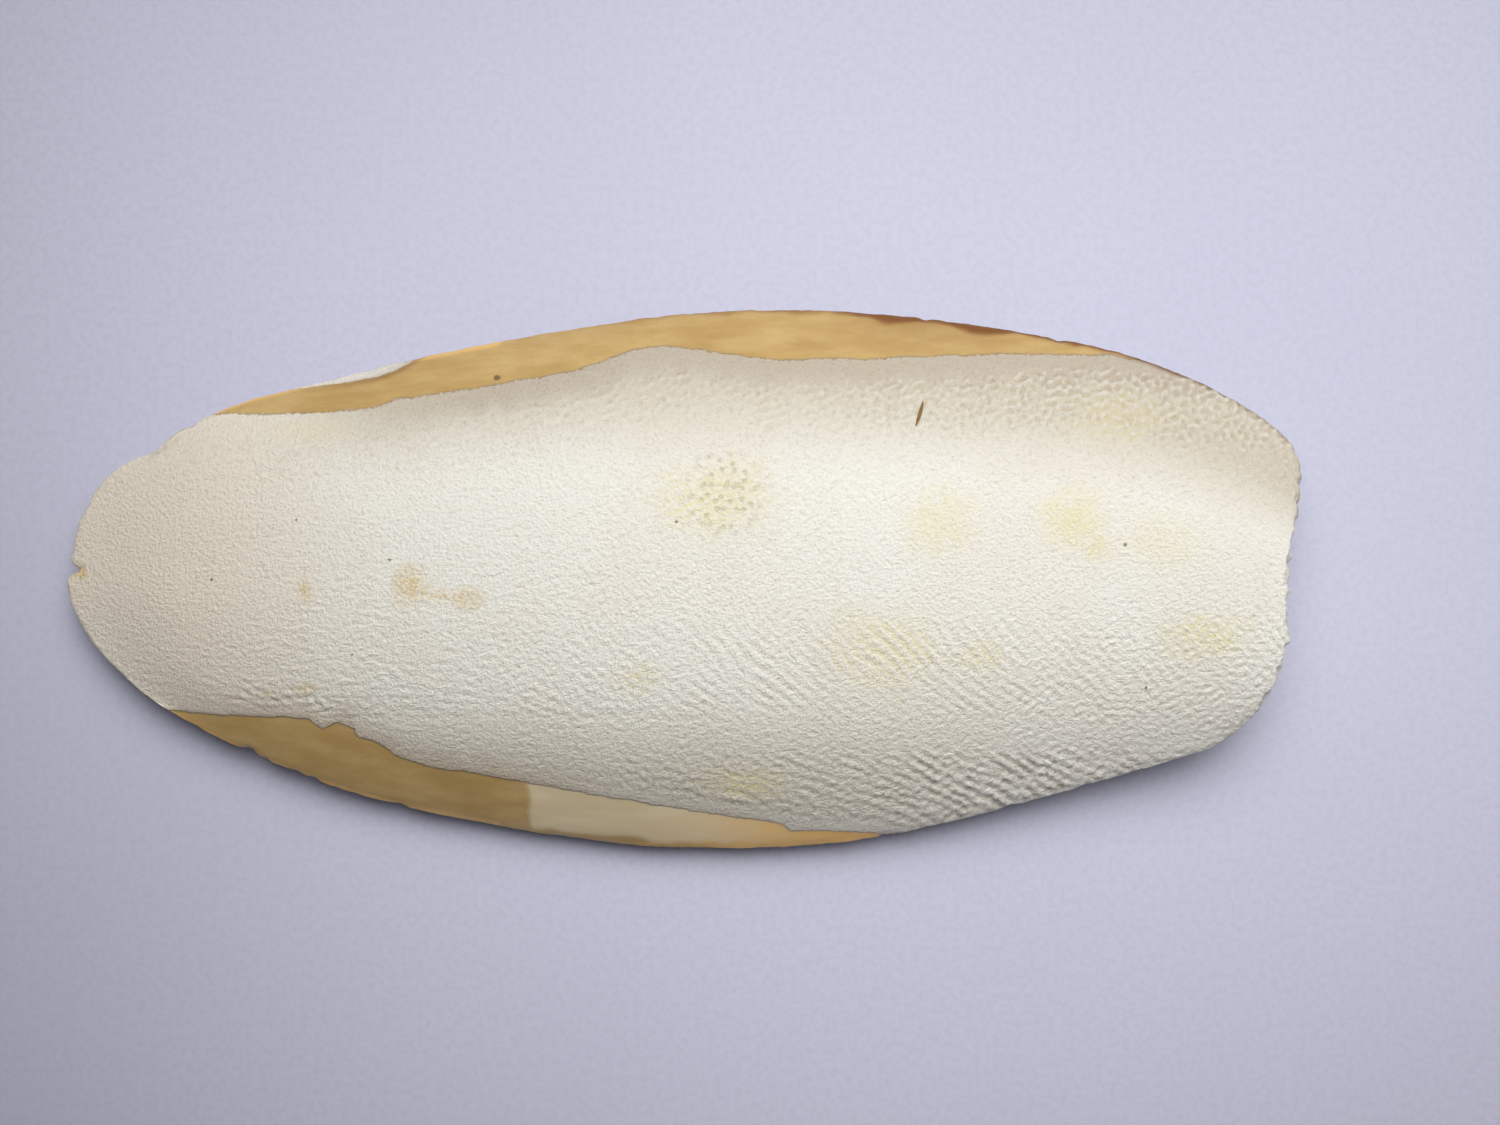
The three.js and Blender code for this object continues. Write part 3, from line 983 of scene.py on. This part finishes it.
def build_shell():
    """The whole shell as one closed mesh, with its masks as attributes."""
    back_u, back_v, back, back_relief = make_back()
    belly_u, belly_v, belly, belly_relief = make_belly()
    edge_u, edge_v, loops = make_edge(back_u, back_v, back)
    back_mask = back_colours(back_u, back_v, back)
    belly_mask = belly_colours(belly_u, belly_v)

    points = [back.reshape(-1, 3), belly.reshape(-1, 3), *loops]
    starts = np.cumsum([0] + [len(block) for block in points])
    i, j = boundary(BACK_ROWS, BACK_COLUMNS)
    back_loop = i * (BACK_COLUMNS + 1) + j
    p, q = boundary(BELLY_ROWS, BELLY_COLUMNS)
    belly_loop = starts[1] + p * (BELLY_COLUMNS + 1) + q
    rings = [back_loop] + [starts[2 + k] + np.arange(len(back_loop)) for k in range(EDGE_LOOPS)]
    faces = [
        grid_faces(0, BACK_ROWS, BACK_COLUMNS, False),
        grid_faces(starts[1], BELLY_ROWS, BELLY_COLUMNS, True),
        *ring_faces(rings),
    ]
    quads = np.concatenate(faces).tolist()
    triangles = stitch(
        rings[-1],
        boundary_share(edge_u, edge_v, BACK_ROWS, BACK_COLUMNS),
        belly_loop,
        boundary_share(belly_u[p, q], belly_v[p, q], BELLY_ROWS, BELLY_COLUMNS),
    )

    masks = {}
    for name, mask in back_mask.items():
        below = belly_mask.get(name, np.zeros_like(belly_u))
        masks[name] = np.concatenate([mask.ravel(), below.ravel()] + [mask[i, j]] * EDGE_LOOPS)
    calm = np.zeros(len(back_loop) * EDGE_LOOPS)
    masks["relief"] = np.concatenate((back_relief.ravel(), belly_relief.ravel(), calm))
    return np.concatenate(points), quads + triangles, masks


def smooth_mesh(name, points, faces):
    """A mesh in metres from points in millimetres."""
    mesh = bpy.data.meshes.new(name)
    mesh.from_pydata((points * MM).tolist(), [], faces)
    mesh.polygons.foreach_set("use_smooth", [True] * len(mesh.polygons))
    return mesh


def add_shell(box):
    """The shell fitted to the solid's box, and how far it was moved to fit."""
    points, faces, masks = build_shell()
    low, high = (np.array(corner) / MM for corner in box)
    offset = (low + high - points.min(0) - points.max(0)) / 2
    offset[2] = 0
    points[:, :2] *= ((high - low) / np.ptp(points, axis=0))[:2]
    mesh = smooth_mesh("shell", np.clip(points + offset, low, high), faces)
    for name, mask in masks.items():
        attribute = mesh.attributes.new(name, "FLOAT", "POINT")
        attribute.data.foreach_set("value", mask.astype(np.float32))
    mesh.validate()
    return add_object("shell", mesh), offset


def add_object(name, data):
    made = bpy.data.objects.new(name, data)
    bpy.context.scene.collection.objects.link(made)
    return made


def add(tree, kind, inputs=None, **settings):
    """A new node with its settings, and with its inputs set or linked."""
    made = tree.nodes.new(kind)
    for name, value in settings.items():
        setattr(made, name, value)
    for socket, value in (inputs or {}).items():
        if isinstance(value, bpy.types.NodeSocket):
            tree.links.new(value, made.inputs[socket])
        else:
            made.inputs[socket].default_value = value
    return made


def maths(tree, operation, *values):
    return add(tree, "ShaderNodeMath", dict(enumerate(values)), operation=operation).outputs[0]


def product(tree, first, second):
    return maths(tree, "MULTIPLY", first, second)


def vector_maths(tree, operation, inputs, output=0):
    return add(tree, "ShaderNodeVectorMath", inputs, operation=operation).outputs[output]


def blend_colours(tree, share, first, second, mode="MIX"):
    inputs = {0: share, 6: first, 7: second}
    return add(tree, "ShaderNodeMix", inputs, data_type="RGBA", blend_type=mode).outputs[2]


def blend_values(tree, share, first, second):
    return add(tree, "ShaderNodeMix", {0: share, 2: first, 3: second}, data_type="FLOAT").outputs[0]


def noise(tree, place, scale, detail=3.0, roughness=0.55):
    inputs = {"Vector": place, "Scale": scale, "Detail": detail, "Roughness": roughness}
    return add(tree, "ShaderNodeTexNoise", inputs).outputs["Fac"]


def ramp(tree, value, low, high, out_low=0.0, out_high=1.0):
    inputs = dict(enumerate((value, low, high, out_low, out_high)))
    return add(tree, "ShaderNodeMapRange", inputs, interpolation_type="SMOOTHSTEP").outputs[0]


def mask_value(tree, name):
    return add(tree, "ShaderNodeAttribute", attribute_name=name).outputs["Fac"]


def new_material(name):
    material = bpy.data.materials.new(name)
    material.use_nodes = True
    return material, material.node_tree, material.node_tree.nodes["Principled BSDF"]


CHALK_CREST = (0.97, 0.945, 0.86, 1)
CHALK_PATCH = (0.95, 0.895, 0.79, 1)
# The flanks' tan chalk, darkened with painted shade.
CHALK_FLANK_TAN_AND_SHADE = (0.71, 0.64, 0.515, 1)
CHALK_FRONT = (0.93, 0.835, 0.7, 1)
CHALK_BAND = (0.6, 0.52, 0.41, 1)
CHALK_TINT = (0.64, 0.5, 0.35, 1)
# Painted shade in the pits, and the colour of the random flecks.
FLECK_AND_PIT_SHADE = (0.68, 0.63, 0.53, 1)
PIT_OLIVE = (0.56, 0.53, 0.25, 1)
STAIN_YELLOW = (0.9, 0.8, 0.42, 1)
STAIN_ORANGE = (0.8, 0.6, 0.27, 1)
HORN_LIGHT = (0.57, 0.395, 0.165, 1)
HORN_DEEP = (0.45, 0.285, 0.095, 1)
HORN_RED = (0.52, 0.3, 0.12, 1)
HORN_BRIGHT = (0.86, 0.52, 0.17, 1)
FILM_TAN = (0.82, 0.69, 0.45, 1)
# Also used for the painted shadow along the flake's edge.
RIM_BROWN = (0.2, 0.075, 0.015, 1)
SPECK_BROWN = (0.12, 0.075, 0.035, 1)
FIBRE_DARK = (0.12, 0.058, 0.012, 1)
FIBRE_LIGHT = (0.38, 0.22, 0.05, 1)
FLOOR_COOL = (0.57, 0.57, 0.7, 1)
FLOOR_PALE = (0.59, 0.59, 0.72, 1)
FLOOR_FLECK = (0.5, 0.5, 0.62, 1)
ROOM_WHITE = (0.95, 0.96, 1, 1)

CREST_HIGHLIGHT_STRENGTH = 0.35  # how much the painted highlight lightens the ridge tops on the tan, shaded flanks
SHADE_IN_PITS = 0.27  # how much painted shade darkens the pits
SHADE_IN_PITS_ON_FLANKS = 0.15  # and what the tan, shaded flanks add to that
DOT_STRENGTH = 0.5
RIM_STRENGTH = 0.8
SPECK_STRENGTH = 0.8
CHALK_ROUGHNESS = 0.88
HORN_ROUGHNESS = (0.38, 0.52)
GRAIN_HEIGHT = 0.4
DOT_DEPTH = 0.05
STREAK_HEIGHT = 0.05


def pit_dots(tree, place, grain):
    """Small dots of uneven size in the pitted patch, each round as seen from above."""
    inputs = {"Vector": place, "Scale": 0.9}
    cells = add(tree, "ShaderNodeTexVoronoi", inputs, voronoi_dimensions="2D").outputs["Distance"]
    uneven = maths(tree, "ADD", cells, ramp(tree, grain, 0.35, 0.65, -0.09, 0.09))
    return product(tree, ramp(tree, uneven, 0.3, 0.1), mask_value(tree, "pitted"))


def chalk_colour(tree, place, grain, dots):
    """The chalk's colour: wide patches, the zones of the shield with painted shade on the flanks, a
    painted highlight on the ridge tops and painted shade in the pits, and the stains.
    """
    patches = ramp(tree, noise(tree, place, 0.055, 4.0), 0.42, 0.62, 0.0, 0.6)
    chalk = blend_colours(tree, patches, CHALK_CREST, CHALK_PATCH)
    # Tan tone and painted shade on the flanks.
    tan_and_shade = mask_value(tree, "tan_and_shade")
    chalk = blend_colours(tree, tan_and_shade, chalk, CHALK_FLANK_TAN_AND_SHADE)
    chalk = blend_colours(tree, mask_value(tree, "front"), chalk, CHALK_FRONT)
    chalk = blend_colours(tree, mask_value(tree, "band"), chalk, CHALK_BAND)
    chalk = blend_colours(tree, mask_value(tree, "tint"), chalk, CHALK_TINT)

    relief = mask_value(tree, "relief")
    # A painted highlight on the ridge tops of the tan, shaded flanks.
    crest_highlight = product(tree, product(tree, ramp(tree, relief, 0.0, 1.0), tan_and_shade), CREST_HIGHLIGHT_STRENGTH)
    chalk = blend_colours(tree, crest_highlight, chalk, CHALK_CREST)
    # Painted shade in the pits of the relief, deeper on the tan, shaded flanks.
    depth = maths(tree, "MULTIPLY_ADD", tan_and_shade, SHADE_IN_PITS_ON_FLANKS, SHADE_IN_PITS)
    painted_pit_shade = product(tree, ramp(tree, relief, 0.0, -1.0), depth)
    chalk = blend_colours(tree, painted_pit_shade, chalk, FLECK_AND_PIT_SHADE, "MULTIPLY")
    chalk = blend_colours(tree, product(tree, dots, DOT_STRENGTH), chalk, PIT_OLIVE)
    flecks = ramp(tree, grain, 0.5, 0.75, 0.0, 0.5)
    chalk = blend_colours(tree, flecks, chalk, FLECK_AND_PIT_SHADE, "MULTIPLY")

    yellow = product(tree, mask_value(tree, "yellow"), ramp(tree, relief, 0.4, -0.4, 0.35, 1.0))
    yellow = product(tree, yellow, ramp(tree, grain, 0.35, 0.6, 0.5, 1.0))
    chalk = blend_colours(tree, yellow, chalk, STAIN_YELLOW)
    orange = product(tree, mask_value(tree, "orange"), ramp(tree, grain, 0.4, 0.6, 0.2, 1.0))
    return blend_colours(tree, orange, chalk, STAIN_ORANGE)


def horn_colour(tree, place, grain):
    """The horn's colour with the film of chalk on it, and its streaks."""
    stretched = vector_maths(tree, "MULTIPLY", {0: place, 1: (0.35, 1, 1)})
    streaks = noise(tree, stretched, 0.35, 5.0, 0.6)
    mottle = noise(tree, place, 1.1, 4.0, 0.65)
    horn = blend_colours(tree, ramp(tree, streaks, 0.3, 0.7), HORN_LIGHT, HORN_DEEP)
    horn = blend_colours(tree, ramp(tree, mottle, 0.5, 0.75, 0.0, 0.6), horn, HORN_RED)
    horn = blend_colours(tree, ramp(tree, grain, 0.45, 0.8, 0.0, 0.3), horn, HORN_DEEP)
    horn = blend_colours(tree, mask_value(tree, "bright"), horn, HORN_BRIGHT)
    film = product(tree, mask_value(tree, "film"), ramp(tree, streaks, 0.25, 0.6, 1.0, 0.75))
    horn = blend_colours(tree, film, horn, FILM_TAN)
    return blend_colours(tree, mask_value(tree, "brown"), horn, RIM_BROWN), streaks


def shell_colour(tree, place, grain, dots, specks):
    """The whole shell's colour, where it is horn, and the horn's streaks."""
    chalk = chalk_colour(tree, place, grain, dots)
    rim = product(tree, mask_value(tree, "brown"), RIM_STRENGTH)
    chalk = blend_colours(tree, rim, chalk, RIM_BROWN)
    horn, streaks = horn_colour(tree, place, grain)
    ragged = maths(tree, "ADD", mask_value(tree, "horn"), ramp(tree, grain, 0.2, 0.8, -0.3, 0.3))
    edge = ramp(tree, ragged, 0.25, 0.75)
    colour = blend_colours(tree, edge, chalk, horn)
    for centre, radius in specks:
        distance = vector_maths(tree, "DISTANCE", {0: place, 1: centre}, "Value")
        uneven = maths(tree, "ADD", distance, ramp(tree, grain, 0.3, 0.7, -0.1, 0.1))
        speck = ramp(tree, uneven, radius * 1.2, radius * 0.6, 0.0, SPECK_STRENGTH)
        colour = blend_colours(tree, speck, colour, SPECK_BROWN)
    return colour, edge, streaks


def shell_material(specks):
    material, tree, shader = new_material("chalk_and_horn")
    coordinates = add(tree, "ShaderNodeTexCoord").outputs["Object"]
    place = vector_maths(tree, "SCALE", {0: coordinates, "Scale": 1 / MM})
    grain = noise(tree, place, 2.6, 4.0, 0.7)
    dots = pit_dots(tree, place, grain)
    colour, edge, streaks = shell_colour(tree, place, grain, dots, specks)
    tree.links.new(colour, shader.inputs["Base Color"])
    horn_rough = ramp(tree, streaks, 0.3, 0.7, *HORN_ROUGHNESS)
    rough = blend_values(tree, edge, CHALK_ROUGHNESS, horn_rough)
    tree.links.new(rough, shader.inputs["Roughness"])
    grain_height = product(tree, grain, GRAIN_HEIGHT)
    chalk_height = maths(tree, "SUBTRACT", grain_height, product(tree, dots, DOT_DEPTH))
    height = blend_values(tree, edge, chalk_height, product(tree, streaks, STREAK_HEIGHT))
    inputs = {"Height": product(tree, height, MM), "Strength": 1.0, "Distance": 1.0}
    tree.links.new(add(tree, "ShaderNodeBump", inputs).outputs[0], shader.inputs["Normal"])
    shader.inputs["Specular IOR Level"].default_value = 0.35
    return material


def fibre_material():
    material, tree, shader = new_material("dry_fibre")
    coordinates = add(tree, "ShaderNodeTexCoord").outputs["Object"]
    streaks = noise(tree, coordinates, 2500.0, 2.0)
    colour = blend_colours(tree, streaks, FIBRE_DARK, FIBRE_LIGHT)
    tree.links.new(colour, shader.inputs["Base Color"])
    shader.inputs["Roughness"].default_value = 0.7
    return material


def place_on(shell, x, y, offset):
    """The place on the shell that the camera sees at x, y of the margin's level."""
    camera = np.array((*PICTURE_CENTRE, CAMERA_HEIGHT)) + offset
    aim = np.array((x, y, MARGIN_LEVEL)) + offset - camera
    hit, surface, _, _ = shell.ray_cast(Vector(camera * MM), Vector(aim).normalized())
    if not hit:
        raise ValueError(f"the camera sees no shell at {x}, {y}")
    return np.array(surface) / MM


def add_fibre(material, shell, offset):
    """A short brown fibre that lies on the back, with its ends pointed."""
    share = np.linspace(0, 1, FIBRE_STEPS + 1)
    start, end = (np.array(point) for point in FIBRE_ENDS)
    direction = (end - start) / np.linalg.norm(end - start)
    side = np.array((-direction[1], direction[0]))
    line = mix(start, end, share[:, None]) + FIBRE_BOW * np.sin(np.pi * share)[:, None] * side
    width = FIBRE_RADIUS * np.sin(np.pi * np.clip(share, FIBRE_TIP, 1 - FIBRE_TIP)) ** 0.5
    points = []
    for (x, y), radius in zip(line, width):
        surface = place_on(shell, x, y, offset)
        for number in range(FIBRE_SIDES):
            angle = 2 * np.pi * number / FIBRE_SIDES
            out = (*(radius * np.cos(angle) * side), (0.5 + np.sin(angle)) * radius)
            points.append(surface + out)
    rings = np.arange(len(points)).reshape(-1, FIBRE_SIDES)
    faces = np.concatenate(ring_faces(rings)).tolist()
    faces += [rings[0, ::-1].tolist(), rings[-1].tolist()]
    mesh = smooth_mesh("fibre", np.array(points), faces)
    mesh.materials.append(material)
    return add_object("fibre", mesh)


def add_floor():
    material, tree, shader = new_material("pale_floor")
    coordinates = add(tree, "ShaderNodeTexCoord").outputs["Object"]
    cloudy = noise(tree, coordinates, 12.0, 2.0)
    fibres = noise(tree, coordinates, 1300.0, 3.0, 0.7)
    colour = blend_colours(tree, ramp(tree, cloudy, 0.35, 0.65), FLOOR_COOL, FLOOR_PALE)
    colour = blend_colours(tree, ramp(tree, fibres, 0.35, 0.7, 0.0, 0.5), colour, FLOOR_FLECK)
    tree.links.new(colour, shader.inputs["Base Color"])
    shader.inputs["Roughness"].default_value = 0.9
    mesh = bpy.data.meshes.new("floor")
    corners = np.array(((-1, -1, 0), (1, -1, 0), (1, 1, 0), (-1, 1, 0))) * FLOOR_REACH
    mesh.from_pydata(corners.tolist(), [], [(0, 1, 2, 3)])
    mesh.materials.append(material)
    add_object("floor", mesh)


def add_lights():
    light = bpy.data.lights.new("key", "AREA")
    light.shape = "ELLIPSE"
    light.size, light.size_y = LAMP_SIZE
    light.energy = LAMP_ENERGY
    light.spread = LAMP_SPREAD
    lamp = add_object("key", light)
    lamp.location = LAMP_PLACE
    towards = Vector(LAMP_AIM) - lamp.location
    lamp.rotation_euler = towards.to_track_quat("-Z", "Y").to_euler()
    world = bpy.data.worlds.new("soft_room")
    world.use_nodes = True
    background = world.node_tree.nodes["Background"]
    background.inputs["Color"].default_value = ROOM_WHITE
    background.inputs["Strength"].default_value = ROOM_STRENGTH
    bpy.context.scene.world = world


def add_camera(offset):
    data = bpy.data.cameras.new("camera")
    data.lens = LENS
    data.sensor_width = SENSOR
    camera = add_object("camera", data)
    centre = np.array(PICTURE_CENTRE) + offset[:2]
    camera.location = (centre[0] * MM, centre[1] * MM, CAMERA_HEIGHT * MM)
    bpy.context.scene.camera = camera


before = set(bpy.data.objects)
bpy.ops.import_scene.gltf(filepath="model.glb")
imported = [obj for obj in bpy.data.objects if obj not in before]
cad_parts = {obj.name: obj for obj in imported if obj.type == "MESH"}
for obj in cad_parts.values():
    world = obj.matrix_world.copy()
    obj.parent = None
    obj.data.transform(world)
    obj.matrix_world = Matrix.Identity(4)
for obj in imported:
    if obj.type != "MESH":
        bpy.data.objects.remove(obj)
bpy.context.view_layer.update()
bpy.context.scene.view_settings.view_transform = "Standard"

shell, offset = add_shell(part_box("cuttlebone"))
bpy.context.view_layer.update()
specks = [(place_on(shell, x, y, offset), radius) for x, y, radius in SPECKS]
shell.data.materials.append(shell_material(specks))
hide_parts("cuttlebone")
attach(shell, "root")

fibre = add_fibre(fibre_material(), shell, offset)
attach(fibre, "root")

add_floor()
add_lights()
add_camera(offset)
